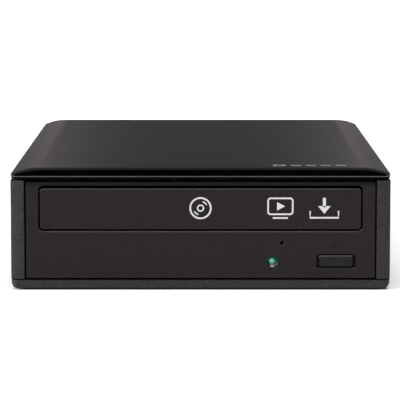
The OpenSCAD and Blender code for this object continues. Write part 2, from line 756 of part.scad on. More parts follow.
// ---- Disc tray ------------------------------------------------------------

module disc_tray() color([0.13, 0.13, 0.14]) {
    rim_floor = 35.2;
    small_floor = 34.1;
    under = 32.4;
    rib = 2;
    front = tray_front + 2;
    rack_low = 26.8;
    rack_teeth_before = 3;
    rack_teeth_after = floor(tray_travel / (PI * rack_module)) - 1;
    difference() {
        union() {
            block([-tray_half, front - join, tray_low], [tray_half, tray_rear, tray_high]);
            // Upright plate that the door clips to
            along_y(tray_front, front)
                translate([0, 35]) polygon(round_rect(124, 14.6, 1, 4));
            translate([rack_line_x, gear_y, rack_low]) linear_extrude(tray_low + join - rack_low)
                polygon(rack_outline(rack_module, rack_teeth_before, rack_teeth_after, 3.5));
            both_sides() for (y = [-100, -6, 38]) block([tray_half - 8, y, tray_low],
                [tray_half - 6.5, y + 6, tray_high]);
        }
        upright(0, disc_y, rim_floor, tray_high + past, disc_r);
        upright(0, disc_y, small_floor, tray_high + past, small_disc_r);
        // Window for the spindle and the pickup, open at the tray's back
        translate([0, 0, tray_low - past]) linear_extrude(tray_high - tray_low + 2 * past)
            polygon(concat([[window_half, tray_rear + past], [-window_half, tray_rear + past]],
                arc(0, disc_y, window_half, 180, 360, 16)));
        // Finger hollow at the front of the recess
        upright(0, disc_y - disc_r + 1, rim_floor - 0.9, tray_high + past, 9);
        // Hollows under the tray between its ribs
        for (span = [[-tray_half + rib, rack_line_x - 3.5 - rib], [rack_line_x + rib + 1, -window_half - rib],
                [window_half + rib, tray_half - rib]], y = [-104, -58, -12])
            block([span[0], y, tray_low - past], [span[1], y + 46 - rib, under]);
    }
}

// ---- Lift deck ------------------------------------------------------------

module cam_slider() color([0.82, 0.82, 0.8]) {
    front = cam_back - cam_thick;
    right = cam_pin_x + 7;
    left = -cam_pin_x - cam_travel - 6;
    slack = 0.4;
    difference() {
        union() {
            block([left, front, 7], [right, cam_back, 23]);
            block([left + 8, front - 7.4, plate_high + clear], [right, front + join, plate_high + 1.8]);
        }
        for (x = [-cam_pin_x, cam_pin_x])
            along_y(front - past, cam_back + past) polygon(slot_outline([x - cam_travel, hinge_z - cam_fall],
                [x, hinge_z], cam_pin_r + slack));
    }
}

module deck_frame() color([0.17, 0.17, 0.18]) {
    bar = 6;
    difference() {
        union() {
            block([-deck_half, deck_front, deck_low], [deck_half, deck_rear, deck_high]);
            both_sides() lying_x(hinge_y, hinge_z, deck_half - join, 49, hinge_r);
            for (x = [-cam_pin_x, cam_pin_x])
                lying_y(x, hinge_z, cam_back - cam_thick + 0.2, deck_front + join, cam_pin_r);
        }
        block([bar - deck_half, deck_front + bar + 1, deck_low - past],
            [deck_half - bar, deck_rear - bar - 1, deck_high + past]);
        at_each(damper_spots) upright(0, 0, deck_high - 2.5, deck_high + past, 1);
    }
}

module deck_dampers() color([0.1, 0.1, 0.1]) at_each(damper_spots) rotate_extrude()
    polygon([[1.1, deck_high], [3.2, deck_high], [3.2, traverse_low], [2, traverse_low],
        [2, traverse_high], [3.2, traverse_high], [3.2, traverse_high + 1], [1.1, traverse_high + 1]]);

module traverse_plate() color([0.62, 0.63, 0.64]) difference() {
    block([-deck_half, deck_front + 0.5, traverse_low], [deck_half, deck_rear - 0.3, traverse_high]);
    at_each(damper_spots) upright(0, 0, traverse_low - past, traverse_high + past, 2.1);
    block([-22, sled_front + 4, traverse_low - past],
        [22, sled_back + sled_travel + 2, traverse_high + past]);
    upright(0, disc_y, traverse_low - past, traverse_high + past, 6);
    both_sides() block([33, -20, traverse_low - past], [38, 30, traverse_high + past]);
}

module rod_holders() color([0.2, 0.2, 0.21]) {
    low = traverse_high + 0.02;
    difference() {
        union() {
            both_sides() for (y = [rod_front, rod_back - 3.8])
                block([rod_x - 3, y, low], [rod_x + 3, y + 3.8, rod_z + 2.6]);
            block([screw_x - 2.6, rod_front, low], [screw_x + 2.6, rod_front + 2, screw_z + 2.4]);
        }
        both_sides() lying_y(rod_x, rod_z, rod_front - past, rod_back + past, rod_r + 0.02);
        lying_y(screw_x, screw_z, rod_front - past, rod_front + 3, screw_r + running);
    }
}

module guide_rods() color([0.85, 0.86, 0.88]) both_sides()
    lying_y(rod_x, rod_z, rod_front - 0.6, rod_back + 0.6, rod_r);

module sled_motor() color([0.6, 0.61, 0.63]) lying_y(screw_x, screw_z, 36.6, 42.8, 3.8);

module lead_screw() color([0.75, 0.76, 0.78]) {
    lying_y(screw_x, screw_z, rod_front - 0.4, 36.4, screw_r);
}

module spindle_motor() color([0.5, 0.5, 0.52]) {
    seat = traverse_high + 0.02;
    translate([0, disc_y, 0]) rotate_extrude()
        polygon([[shaft_r + running, 20.2], [5.8, 20.2], [5.8, seat], [12.5, seat],
            [12.5, seat + 1], [9, seat + 1], [9, 27.4], [shaft_r + running, 27.4]]);
}

module turntable() color([0.55, 0.56, 0.58]) translate([0, disc_y, 0]) rotate_extrude()
    polygon([[0, 20.8], [shaft_r, 20.8], [shaft_r, 28], [12.4, 28], [12.4, 23.8], [13.4, 23.8],
        [13.4, 31.6], [8.6, 32.2], [8.6, 33.6], [14.5, 33.8], [14.5, table_top - 0.5], [9, table_top - 0.5],
        [9, table_top - 0.2], [7.4, table_top - 0.2], [7.4, table_top + 1], [6, table_top + 2.2],
        [0, table_top + 2.2]]);

module turntable_pad() color([0.08, 0.08, 0.08]) translate([0, disc_y, 0]) rotate_extrude()
    polygon([[9.2, table_top - 0.48], [14.3, table_top - 0.48], [14.3, table_top], [9.2, table_top]]);

module clamper() color([0.83, 0.83, 0.8]) {
    low = table_top + 1.5;
    neck_top = chassis_high + 1.45;
    translate([0, disc_y, 0]) rotate_extrude() polygon([[0, low + 1.7], [8, low + 1.7], [8, low], [15, low],
        [15.5, low + 0.5], [15.5, low + 1.4], [11.5, low + 2], [11.5, neck_top], [15, neck_top],
        [15, neck_top + 1], [7.1, neck_top + 1], [7.1, neck_top - 1.4], [0, neck_top - 1.4]]);
}

module clamp_magnet() color([0.45, 0.45, 0.47])
    upright(0, disc_y, chassis_high + 0.1, chassis_high + 2.2, 7);

// ---- Pickup ---------------------------------------------------------------

module pickup_sled() color([0.5, 0.5, 0.5]) difference() {
    union() {
        translate([0, 0, 23]) linear_extrude(7.4) polygon(concat(
            [[-20.5, sled_back], [-20.5, sled_front + 4], [-16, sled_front + 1]],
            arc(0, disc_y, 17.5, 118, 62, 8),
            [[16, sled_front + 1], [20.5, sled_front + 4], [20.5, sled_back]]));
        both_sides() block([20.5 - join, -24, 23], [rod_x + 3.4, -6, 27.4]);
        block([rod_x + 3.4 - join, -17, 25.8], [screw_x - screw_r - 0.25, -13, 27.4]);
    }
    both_sides() lying_y(rod_x, rod_z, -26, -4, rod_r + running);
    // Well for the lens holder
    block([-9, lens_y - 8, 26.5], [9, lens_y + 8.5, 31]);
}

module lens_holder() color([0.14, 0.14, 0.15]) difference() {
    union() {
        block([-6.5, lens_y - 5.5, 27.6], [6.5, lens_y + 5.5, 32.4]);
        upright(0, lens_y, 32.4 - join, lens_top - 0.5, 3.6);
    }
    upright(0, lens_y, 26, lens_top, 2.6);
}

module objective_lens() color([0.6, 0.75, 0.9]) translate([0, lens_y, 0]) rotate_extrude()
    polygon([[0, 32.2], [2.55, 32.2], [2.55, lens_top - 0.8], [1.8, lens_top - 0.35], [0, lens_top - 0.1]]);

top_cover();
lid_carrier();
left_side_panel();
right_side_panel();
rear_panel();
bottom_cover();
rubber_feet();
case_screws();
drive_screws();
rating_label();
bridge_board();
board_chips();
board_capacitors();
board_screws();
usb_port();
dc_jack();
power_switch();
power_switch_knob();
sata_connector();
drive_bottom_cover();
drive_top_cover();
front_bezel();
loader_chassis();
chassis_screws();
drive_main_board();
drive_board_chips();
drive_sata_connector();
front_board();
eject_switch();
status_led();
led_lens();
clamp_bridge();
bridge_screws();
loading_motor();
motor_pulley();
loading_belt();
pulley_gear();
drive_gear();
disc_tray();
tray_door();
eject_button();
cam_slider();
deck_frame();
deck_dampers();
traverse_plate();
rod_holders();
guide_rods();
sled_motor();
lead_screw();
spindle_motor();
turntable();
turntable_pad();
clamper();
clamp_magnet();
pickup_sled();
lens_holder();
objective_lens();
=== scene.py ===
"""Looks for the external optical drive: a desktop housing with a gloss lid round a tray-loading drive."""
import json
import math

import bmesh
import bpy
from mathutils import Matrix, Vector


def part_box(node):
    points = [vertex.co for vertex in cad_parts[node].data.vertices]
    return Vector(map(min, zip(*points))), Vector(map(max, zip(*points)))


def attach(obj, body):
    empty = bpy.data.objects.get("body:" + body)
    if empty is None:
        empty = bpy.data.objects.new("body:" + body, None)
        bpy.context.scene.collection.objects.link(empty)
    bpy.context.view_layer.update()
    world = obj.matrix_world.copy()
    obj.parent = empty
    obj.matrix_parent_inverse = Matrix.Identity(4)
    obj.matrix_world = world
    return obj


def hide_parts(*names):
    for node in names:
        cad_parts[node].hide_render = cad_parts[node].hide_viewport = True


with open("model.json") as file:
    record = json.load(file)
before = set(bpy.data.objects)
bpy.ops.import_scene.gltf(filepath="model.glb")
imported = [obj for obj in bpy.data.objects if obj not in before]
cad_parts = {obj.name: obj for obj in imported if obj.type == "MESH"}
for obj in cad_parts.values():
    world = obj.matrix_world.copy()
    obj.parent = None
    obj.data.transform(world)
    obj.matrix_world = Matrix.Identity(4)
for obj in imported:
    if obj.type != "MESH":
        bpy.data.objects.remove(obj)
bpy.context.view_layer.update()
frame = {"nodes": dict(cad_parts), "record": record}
MM = 0.001
NODES = frame["nodes"]

# ---- Levels and widths taken from the frame, in millimetres ---------------------------------------


def span(node, axis):
    """Lowest and highest value of a CAD node along axis 0, 1 or 2, in millimetres."""
    low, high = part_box(node)
    return low[axis] / MM, high[axis] / MM


def middle(node, axis):
    low, high = span(node, axis)
    return (low + high) / 2


HALF_W = span("bottom_cover", 0)[1]
FRONT_Y, REAR_Y = span("bottom_cover", 1)
LID_LOW, LID_HIGH = span("top_cover", 2)
BEZEL_FACE, BEZEL_TOP = span("front_bezel", 1)[0], span("front_bezel", 2)[1]
LAMP_X, LAMP_Z = middle("led_lens", 0), middle("led_lens", 2)
LAMP_TIP = span("led_lens", 1)[0]

# ---- Mesh helpers ---------------------------------------------------------------------------------


def piece(name, verts, faces, smooth_angle=30):
    """A mesh object from points in millimetres, shaded smooth up to smooth_angle degrees."""
    mesh = bpy.data.meshes.new(name)
    mesh.from_pydata([Vector(v) * MM for v in verts], [], faces)
    bm = bmesh.new()
    bm.from_mesh(mesh)
    bmesh.ops.recalc_face_normals(bm, faces=bm.faces)
    for face in bm.faces:
        face.smooth = True
    for edge in bm.edges:
        if len(edge.link_faces) == 2:
            edge.smooth = edge.calc_face_angle() < math.radians(smooth_angle)
    bm.to_mesh(mesh)
    bm.free()
    made = bpy.data.objects.new(name, mesh)
    bpy.context.scene.collection.objects.link(made)
    return made


SHARPEST_R = 0.01


def round_outline(half_w, half_d, radius, corner_steps=10, side_steps=1):
    """Points of a rounded rectangle round the origin, anticlockwise, with its sides divided too."""
    radius = max(radius, SHARPEST_R)
    points = []
    centres = [(1, 1), (-1, 1), (-1, -1), (1, -1)]
    for quarter, (sx, sy) in enumerate(centres):
        cx, cy = sx * (half_w - radius), sy * (half_d - radius)
        for step in range(corner_steps + 1):
            a = math.radians(90 * (quarter + step / corner_steps))
            points.append((cx + radius * math.cos(a), cy + radius * math.sin(a)))
        nx, ny = centres[(quarter + 1) % 4]
        a = math.radians(90 * (quarter + 1))
        end = points[-1]
        start = (nx * (half_w - radius) + radius * math.cos(a), ny * (half_d - radius) + radius * math.sin(a))
        for step in range(1, side_steps):
            t = step / side_steps
            points.append((end[0] + (start[0] - end[0]) * t, end[1] + (start[1] - end[1]) * t))
    return points


def lofted(rings):
    """Vertices and faces of a closed skin through rings of equally many points."""
    count = len(rings[0])
    verts = [p for ring in rings for p in ring]
    last = (len(rings) - 1) * count
    faces = [(base + i, base + (i + 1) % count, base + count + (i + 1) % count, base + count + i)
             for base in range(0, last, count) for i in range(count)]
    faces.append(tuple(reversed(range(count))))
    faces.append(tuple(range(last, last + count)))
    return verts, faces


# ---- Material helpers; noise scales are in cells per metre ----------------------------------------

BROAD_CELLS, SHEEN_CELLS, WAVE_CELLS = 22.0, 9.0, 30.0
DUST_AND_HIGHLIGHT_CELLS, STAIN_CELLS, GLASS_CELLS = 320.0, 60.0, 900.0
HAIR_CELLS, HAIR_STRETCH = 90.0, (1, 14, 1)
# Near-black of the painted shade under the lid's edge
PAINTED_SHADE_BLACK = (0.0012, 0.0012, 0.0012, 1)
TIN = (0.32, 0.31, 0.27)
NOISE_LOW, NOISE_HIGH = 0.3, 0.7
# The Mix node's colour sockets share their names with its number sockets, so they go by place
MIX_FIRST, MIX_SECOND, MIX_RESULT = 6, 7, 2


def new_material(name, roughness, metallic=0.0, specular=0.5, ior=1.45):
    material = bpy.data.materials.new(name)
    material.use_nodes = True
    shader = material.node_tree.nodes["Principled BSDF"]
    shader.inputs["Roughness"].default_value = roughness
    shader.inputs["Metallic"].default_value = metallic
    shader.inputs["Specular IOR Level"].default_value = specular
    shader.inputs["IOR"].default_value = ior
    return material, material.node_tree, shader


def link(tree, source, target):
    tree.links.new(source, target)


def noise_field(tree, scale, detail=3.0, stretch=(1, 1, 1), rough=0.55):
    """Noise in the object's own metres, with scale in cells per metre."""
    place = tree.nodes.new("ShaderNodeTexCoord")
    mapping = tree.nodes.new("ShaderNodeMapping")
    mapping.inputs["Scale"].default_value = stretch
    field = tree.nodes.new("ShaderNodeTexNoise")
    field.inputs["Scale"].default_value = scale
    field.inputs["Detail"].default_value = detail
    field.inputs["Roughness"].default_value = rough
    link(tree, place.outputs["Object"], mapping.inputs["Vector"])
    link(tree, mapping.outputs["Vector"], field.inputs["Vector"])
    return field.outputs["Fac"]


def blend_colours(tree, factor, dark, light):
    """Colour between dark and light over the range that noise mostly keeps to."""
    ramp = tree.nodes.new("ShaderNodeValToRGB")
    ramp.color_ramp.elements[0].position = NOISE_LOW
    ramp.color_ramp.elements[0].color = (*dark, 1)
    ramp.color_ramp.elements[1].position = NOISE_HIGH
    ramp.color_ramp.elements[1].color = (*light, 1)
    link(tree, factor, ramp.inputs["Fac"])
    return ramp.outputs["Color"]


def value_range(tree, factor, low, high):
    remap = tree.nodes.new("ShaderNodeMapRange")
    remap.inputs["To Min"].default_value = low
    remap.inputs["To Max"].default_value = high
    link(tree, factor, remap.inputs["Value"])
    return remap.outputs["Result"]


def mix_colours(tree, factor, first, second, blend="MIX"):
    """Colour between two others; each value is a socket, a number or a colour with its alpha."""
    mix = tree.nodes.new("ShaderNodeMix")
    mix.data_type = "RGBA"
    mix.blend_type = blend
    sockets = (mix.inputs["Factor"], mix.inputs[MIX_FIRST], mix.inputs[MIX_SECOND])
    for socket, value in zip(sockets, (factor, first, second)):
        if isinstance(value, bpy.types.NodeSocket):
            link(tree, value, socket)
        else:
            socket.default_value = value
    return mix.outputs[MIX_RESULT]


def add_bump(tree, shader, height, strength, distance_mm):
    bump = tree.nodes.new("ShaderNodeBump")
    bump.inputs["Strength"].default_value = strength
    bump.inputs["Distance"].default_value = distance_mm * MM
    link(tree, height, bump.inputs["Height"])
    link(tree, bump.outputs["Normal"], shader.inputs["Normal"])


def shade(colour, factor):
    return tuple(min(1.0, c * factor) for c in colour)


def smooth_range(tree, value, low, high):
    """Grows softly from 0 to 1 as value goes from low to high."""
    rise = tree.nodes.new("ShaderNodeMapRange")
    rise.interpolation_type = "SMOOTHSTEP"
    rise.inputs["From Min"].default_value = low
    rise.inputs["From Max"].default_value = high
    link(tree, value, rise.inputs["Value"])
    return rise.outputs["Result"]


def dust_and_highlight_mask(tree, amount, from_tilt, to_tilt):
    """How much painted highlight, with some fine dust, lies on a surface: most on what faces up, as if lit
    from above, in soft patches.
    """
    place = tree.nodes.new("ShaderNodeNewGeometry")
    split = tree.nodes.new("ShaderNodeSeparateXYZ")
    link(tree, place.outputs["Normal"], split.inputs["Vector"])
    facing = smooth_range(tree, split.outputs["Z"], from_tilt, to_tilt)
    patches = value_range(tree, noise_field(tree, DUST_AND_HIGHLIGHT_CELLS, 4.0), amount * 0.5, amount * 1.5)
    product = tree.nodes.new("ShaderNodeMath")
    product.operation = "MULTIPLY"
    link(tree, facing, product.inputs[0])
    link(tree, patches, product.inputs[1])
    return product.outputs[0]


def height_mask(tree, from_mm, to_mm):
    """Grows from 0 to 1 between two heights in the object's own millimetres."""
    place = tree.nodes.new("ShaderNodeTexCoord")
    split = tree.nodes.new("ShaderNodeSeparateXYZ")
    link(tree, place.outputs["Object"], split.inputs["Vector"])
    return smooth_range(tree, split.outputs["Z"], from_mm * MM, to_mm * MM)


def moulded(name, colour, roughness, grain=0.35, bump=0.25, specular=0.4, mottle=0.12, grain_mm=0.35,
            dust_and_highlight=0.0, dust_and_highlight_colour=(0.1, 0.095, 0.092), dust_and_highlight_tilt=(0.1, 0.9), painted_shade_mm=None):
    """Moulded plastic: spark-eroded grain, faint mottling, and on what faces up a painted highlight with some
    dust.

    The last argument gives the two heights between which the colour fades to black: painted shade, standing
    for the shadow under the lid's edge.
    """
    material, tree, shader = new_material(name, roughness, specular=specular)
    fine = noise_field(tree, 1 / (grain_mm * MM), 2.0)
    broad = noise_field(tree, BROAD_CELLS, 4.0)
    grained = blend_colours(tree, fine, shade(colour, 1 - mottle), shade(colour, 1 + mottle))
    handled = blend_colours(tree, broad, (0.93, 0.93, 0.93), (1.0, 1.0, 1.0))
    colour_out = mix_colours(tree, 1.0, grained, handled, "MULTIPLY")
    # Painted highlight with some dust: what faces up is lightened towards a pale colour, as if lit from above
    if dust_and_highlight:
        colour_out = mix_colours(tree, dust_and_highlight_mask(tree, dust_and_highlight, *dust_and_highlight_tilt), colour_out, (*dust_and_highlight_colour, 1))
    # Painted shade: the colour fades to black between the two heights, standing for the lid's shadow
    if painted_shade_mm:
        colour_out = mix_colours(tree, height_mask(tree, *painted_shade_mm), colour_out, PAINTED_SHADE_BLACK)
    link(tree, colour_out, shader.inputs["Base Color"])
    link(tree, value_range(tree, broad, roughness - 0.05, roughness + 0.07), shader.inputs["Roughness"])
    add_bump(tree, shader, fine, strength=bump, distance_mm=grain * 0.1)
    return material


def gloss(name, colour, roughness=0.04, ior=1.45, specular=0.5):
    """Polished moulding with hairline scratches in its sheen and a faint wave in its face."""
    material, tree, shader = new_material(name, roughness, specular=specular, ior=ior)
    hair = noise_field(tree, HAIR_CELLS, 6.0, stretch=HAIR_STRETCH, rough=0.75)
    sheen = noise_field(tree, SHEEN_CELLS, 3.0)
    tinted = blend_colours(tree, sheen, shade(colour, 0.9), shade(colour, 1.1))
    link(tree, tinted, shader.inputs["Base Color"])
    link(tree, value_range(tree, hair, roughness * 0.5, roughness * 2.2), shader.inputs["Roughness"])
    add_bump(tree, shader, noise_field(tree, WAVE_CELLS, 1.0), strength=0.02, distance_mm=0.05)
    return material


def lamp_glass(name, centre_mm, reach_mm, stops, roughness):
    """Tinted lens with a painted glint and glow, brightest at centre_mm and darker outwards; stops are (share
    of reach, colour).
    """
    material, tree, shader = new_material(name, roughness)
    place = tree.nodes.new("ShaderNodeTexCoord")
    away = tree.nodes.new("ShaderNodeVectorMath")
    away.operation = "DISTANCE"
    away.inputs[1].default_value = [c * MM for c in centre_mm]
    link(tree, place.outputs["Object"], away.inputs[0])
    share = tree.nodes.new("ShaderNodeMapRange")
    share.inputs["From Max"].default_value = reach_mm * MM
    link(tree, away.outputs["Value"], share.inputs["Value"])
    ramp = tree.nodes.new("ShaderNodeValToRGB")
    ramp.color_ramp.interpolation = "EASE"
    for _ in stops[2:]:
        ramp.color_ramp.elements.new(0.5)
    for element, (position, colour) in zip(ramp.color_ramp.elements, stops):
        element.position = position
        element.color = (*colour, 1)
    link(tree, share.outputs["Result"], ramp.inputs["Fac"])
    link(tree, ramp.outputs["Color"], shader.inputs["Base Color"])
    add_bump(tree, shader, noise_field(tree, GLASS_CELLS, 2.0), strength=0.05, distance_mm=0.03)
    return material


def laminate(name, colour, roughness):
    """Circuit board: solder resist over a net of copper tracks, with tinned holes."""
    material, tree, shader = new_material(name, roughness)
    place = tree.nodes.new("ShaderNodeTexCoord")

    def cells(feature, size_mm, low, high):
        """1 up to low from the cells' edges or middles, 0 past high; both are shares of a cell."""
        field = tree.nodes.new("ShaderNodeTexVoronoi")
        field.feature = feature
        field.inputs["Scale"].default_value = 1 / (size_mm * MM)
        link(tree, place.outputs["Object"], field.inputs["Vector"])
        step = tree.nodes.new("ShaderNodeMapRange")
        step.inputs["From Min"].default_value = low
        step.inputs["From Max"].default_value = high
        step.inputs["To Min"].default_value = 1.0
        step.inputs["To Max"].default_value = 0.0
        link(tree, field.outputs["Distance"], step.inputs["Value"])
        return step.outputs["Result"]

    tracks = cells("DISTANCE_TO_EDGE", 3.2, 0.05, 0.08)
    holes = cells("F1", 2.4, 0.13, 0.16)
    resist = noise_field(tree, STAIN_CELLS, 3.0)
    colour_out = blend_colours(tree, resist, shade(colour, 0.85), shade(colour, 1.1))
    colour_out = mix_colours(tree, tracks, colour_out, (*shade(colour, 2.1), 1))
    colour_out = mix_colours(tree, holes, colour_out, (*TIN, 1))
    link(tree, colour_out, shader.inputs["Base Color"])
    add_bump(tree, shader, tracks, strength=0.3, distance_mm=0.05)
    return material


def metal(name, colour, roughness, stretch=(1, 1, 1), scale=1500.0, bump=0.1):
    """Metal with rolling or turning marks along the stretched direction."""
    material, tree, shader = new_material(name, roughness, metallic=1.0)
    lines = noise_field(tree, scale, 3.0, stretch=stretch)
    stain = noise_field(tree, STAIN_CELLS, 4.0)
    link(tree, blend_colours(tree, stain, shade(colour, 0.82), colour), shader.inputs["Base Color"])
    link(tree, value_range(tree, lines, roughness - 0.08, roughness + 0.12), shader.inputs["Roughness"])
    add_bump(tree, shader, lines, strength=bump, distance_mm=0.02)
    return material


# ---- Materials, one for each of the record's slots ------------------------------------------------

# Heights of the painted shade on the front panel's top strip, under the lid
BEZEL_PAINTED_SHADE = (BEZEL_TOP - 2.4, BEZEL_TOP - 0.9)
# The lens's bright spot sits above and left of its middle: a painted glint and glow, fading to a darker rim
LAMP_GLINT_CENTRE = (LAMP_X - 0.45, LAMP_TIP, LAMP_Z + 0.4)
LAMP_REACH = 2.2
LAMP_GREENS = [(0.1, (0.2, 0.55, 0.44)), (0.3, (0.1, 0.4, 0.3)), (0.7, (0.06, 0.3, 0.22)),
               (1.0, (0.02, 0.12, 0.085))]
BLACK, LID_EDGE_BLACK = (0.001, 0.0008, 0.0008), (0.0015, 0.0012, 0.0012)

MATERIALS = {
    "gloss_lid": gloss("gloss_lid", BLACK, 0.04),
    "inner_plastic": moulded("inner_plastic", (0.0025, 0.0025, 0.0028), 0.6, specular=0.08),
    "housing_plastic": moulded("housing_plastic", (0.0205, 0.0185, 0.019), 0.5, bump=0.5, specular=0.35,
                               mottle=0.7, grain_mm=0.7),
    "rubber_black": moulded("rubber_black", (0.018, 0.018, 0.018), 0.8, bump=0.5, specular=0.25),
    "screw_steel": metal("screw_steel", (0.5, 0.5, 0.5), 0.35),
    "label_film": moulded("label_film", (0.42, 0.42, 0.40), 0.35, bump=0.05, grain_mm=0.15),
    "circuit_board": laminate("circuit_board", (0.012, 0.075, 0.03), 0.3),
    "chip_black": moulded("chip_black", (0.014, 0.014, 0.015), 0.5, bump=0.15, grain_mm=0.12),
    "capacitor_can": metal("capacitor_can", (0.3, 0.31, 0.34), 0.3),
    "port_steel": metal("port_steel", (0.6, 0.61, 0.62), 0.3, stretch=(1, 8, 1)),
    "knob_plastic": moulded("knob_plastic", (0.02, 0.02, 0.02), 0.45),
    "sheet_steel": metal("sheet_steel", (0.55, 0.56, 0.57), 0.35, stretch=(1, 12, 1)),
    # Front panel: a painted highlight with some dust on its up-facing edges, and painted shade on its top
    # strip under the lid
    "bezel_plastic": moulded("bezel_plastic", (0.0122, 0.0085, 0.0085), 0.5, bump=0.4, specular=0.22,
                             mottle=0.45, grain_mm=0.7, dust_and_highlight=0.85, painted_shade_mm=BEZEL_PAINTED_SHADE),
    # Button: a painted highlight with some dust along its top edge
    "button_plastic": moulded("button_plastic", (0.0092, 0.0072, 0.0076), 0.42, bump=0.25, specular=0.22,
                              mottle=0.4, grain_mm=0.7, dust_and_highlight=0.9, dust_and_highlight_colour=(0.15, 0.143, 0.14)),
    "lamp_glow": moulded("lamp_glow", (0.2, 0.7, 0.5), 0.3, bump=0.05),
    "lamp_lens": lamp_glass("lamp_lens", LAMP_GLINT_CENTRE, LAMP_REACH, LAMP_GREENS, 0.2),
    "chassis_plastic": moulded("chassis_plastic", (0.02, 0.02, 0.021), 0.55, bump=0.4),
    "tray_plastic": moulded("tray_plastic", (0.026, 0.026, 0.028), 0.5, bump=0.35),
    "gear_plastic": moulded("gear_plastic", (0.7, 0.7, 0.66), 0.4, bump=0.1),
    "motor_steel": metal("motor_steel", (0.5, 0.5, 0.52), 0.32, stretch=(1, 1, 10)),
    "polished_steel": metal("polished_steel", (0.7, 0.71, 0.72), 0.15),
    "machined_aluminium": metal("machined_aluminium", (0.65, 0.66, 0.67), 0.28, stretch=(1, 1, 10)),
    "pulley_brass": metal("pulley_brass", (0.65, 0.48, 0.2), 0.3, stretch=(1, 1, 10)),
    "magnet_grey": metal("magnet_grey", (0.3, 0.3, 0.32), 0.35),
    "cast_alloy": metal("cast_alloy", (0.42, 0.42, 0.43), 0.5, scale=2500.0, bump=0.3),
    "optic_glass": gloss("optic_glass", (0.12, 0.2, 0.32), 0.03),
}

BASE_PLASTIC = moulded("base_plastic", (0.0215, 0.0185, 0.0185), 0.5, bump=0.5, specular=0.35, mottle=0.6,
                       grain_mm=0.7)

for row in frame["record"]["subparts"]:
    NODES[row["node"]].data.materials.clear()
    NODES[row["node"]].data.materials.append(MATERIALS[row["material_slot"]])
NODES["bottom_cover"].data.materials[0] = BASE_PLASTIC

# ---- Fine edges on the moulded parts: the width of each node's rounds, in millimetres --------------

EASED = {"left_side_panel": 0.25, "right_side_panel": 0.25, "bottom_cover": 0.2, "front_bezel": 0.2,
         "tray_door": 0.35, "eject_button": 0.3, "rear_panel": 0.2, "lid_carrier": 0.2, "disc_tray": 0.2}
WELD_MM = 0.002
FLAT_DEG, SHARP_DEG = 1, 35


def ease_edges(node, width_mm):
    """Small rounds along a CAD node's sharp edges, as a mould leaves them."""
    made = NODES[node]
    weld = made.modifiers.new("weld", "WELD")
    weld.merge_threshold = WELD_MM * MM
    flats = made.modifiers.new("flats", "DECIMATE")
    flats.decimate_type = "DISSOLVE"
    flats.angle_limit = math.radians(FLAT_DEG)
    bevel = made.modifiers.new("edges", "BEVEL")
    bevel.width = width_mm * MM
    bevel.segments = 2
    bevel.limit_method = "ANGLE"
    bevel.angle_limit = math.radians(SHARP_DEG)
    bevel.use_clamp_overlap = False
    bevel.loop_slide = False
    normals = made.modifiers.new("normals", "WEIGHTED_NORMAL")
    normals.weight = 100
    for polygon in made.data.polygons:
        polygon.use_smooth = True


for name, width in EASED.items():
    ease_edges(name, width)

# ---- Lid ------------------------------------------------------------------------------------------

# The top rolls off by SIDE_DROP at the sides and by BACK_FALL over the last BACK_RUN at the back
SIDE_DROP, SIDE_ROLL_R = 2.6, 31.0
SIDE_RUN = math.sqrt(SIDE_ROLL_R ** 2 - (SIDE_ROLL_R - SIDE_DROP) ** 2)
BACK_FALL, BACK_RUN = 1.8, 11.0
BACK_R = (BACK_RUN ** 2 + BACK_FALL ** 2) / (2 * BACK_FALL)
EDGE_RUN = 3.9
LID_CORNER_R, LID_INNER_R = 3.0, 0.3
# The wall stands on a rim rounded by LID_RIM, then runs upright for FRONT_UPRIGHT
LID_EDGE = LID_LOW + 0.24
LID_RIM, FRONT_UPRIGHT = 0.12, 0.2
UPRIGHT_TOP = LID_EDGE + LID_RIM + FRONT_UPRIGHT
LID_WALL, LID_INSIDE, INSIDE_RUN = 2.4, 30.0, 14
LIP_LOW, LIP_EASE = LID_LOW - 0.4, 0.1
LIP_INSET, LIP_WIDTH = 0.15, 1.7
WALL_FOOT = 0.6
UPRIGHT_EASE = 0.004
EDGE_SLOT, LIP_SLOT = 1, 2
MARK_PROUD = 0.03
LID_TOP = LID_HIGH - MARK_PROUD
TOP_INSETS = [5, 6, 7, 8, 9, 10, 11, 12, 13, 15, 20, 30]


def lid_height(x, y):
    """Height of the lid's top: flat, rolled off at the sides and the back, fully rounded in front."""
    past_flat = max(0.0, abs(x) - (HALF_W - SIDE_RUN))
    side = SIDE_ROLL_R - math.sqrt(SIDE_ROLL_R ** 2 - past_flat ** 2)
    into_back = max(0.0, y - (REAR_Y - BACK_RUN))
    back = BACK_R - math.sqrt(BACK_R ** 2 - into_back ** 2)
    crown = LID_TOP - (side ** 3 + back ** 3) ** (1 / 3)
    short = 1 - min(max(y - FRONT_Y, 0.0), EDGE_RUN) / EDGE_RUN
    return UPRIGHT_TOP + (crown - UPRIGHT_TOP) * math.sqrt(max(1 - short ** 2, 0.0))


